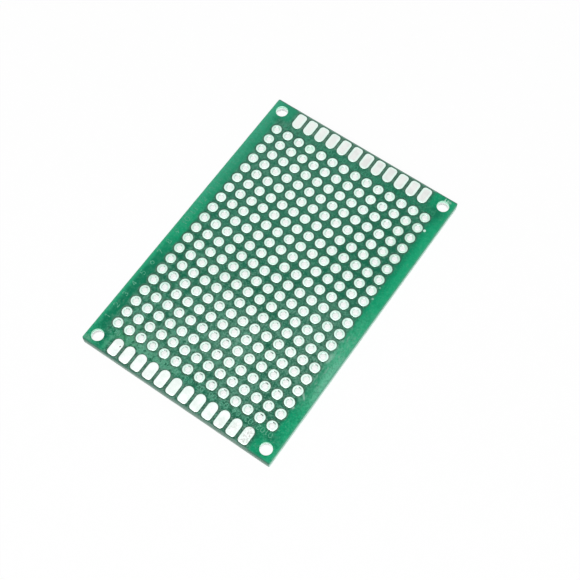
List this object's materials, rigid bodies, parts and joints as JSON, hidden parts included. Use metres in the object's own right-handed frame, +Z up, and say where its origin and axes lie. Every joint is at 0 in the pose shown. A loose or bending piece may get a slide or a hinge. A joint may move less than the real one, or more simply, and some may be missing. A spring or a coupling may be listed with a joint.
{
  "type": "prototype board",
  "caption": "Double-sided prototype board: green masked glass-epoxy sheet with a square grid of plated holes, solder pads along both short ends and corner mounting holes.",
  "frame": {"origin": "under the board's centre, on the plane of the underside's pads", "axes": "+Z up out of the main face, +Y along the board's length, +X across its width"},
  "size_m": [0.04, 0.06, 0.0016],
  "materials": {
    "laminate": "pale glass-epoxy laminate, sawn at the edges and drilled, with the glass cloth's layers just showing",
    "solder_mask": "thin green solder resist, satin to glossy, a little lighter where there is no copper beneath",
    "tinned_copper": "copper levelled with tin, bright and slightly domed"
  },
  "bodies": {
    "root": {"laminate": "laminate", "solder_mask_top": "solder_mask", "solder_mask_bottom": "solder_mask", "end_pads_top_near": "tinned_copper", "end_pads_top_far": "tinned_copper", "end_pads_bottom_near": "tinned_copper", "end_pads_bottom_far": "tinned_copper", "hole_row_01": "tinned_copper", "hole_row_02": "tinned_copper", "hole_row_03": "tinned_copper", "hole_row_04": "tinned_copper", "hole_row_05": "tinned_copper", "hole_row_06": "tinned_copper", "hole_row_07": "tinned_copper", "hole_row_08": "tinned_copper", "hole_row_09": "tinned_copper", "hole_row_10": "tinned_copper", "hole_row_11": "tinned_copper", "hole_row_12": "tinned_copper", "hole_row_13": "tinned_copper", "hole_row_14": "tinned_copper", "hole_row_15": "tinned_copper", "hole_row_16": "tinned_copper", "hole_row_17": "tinned_copper", "hole_row_18": "tinned_copper", "hole_row_19": "tinned_copper", "hole_row_20": "tinned_copper"}
  },
  "joints": []
}
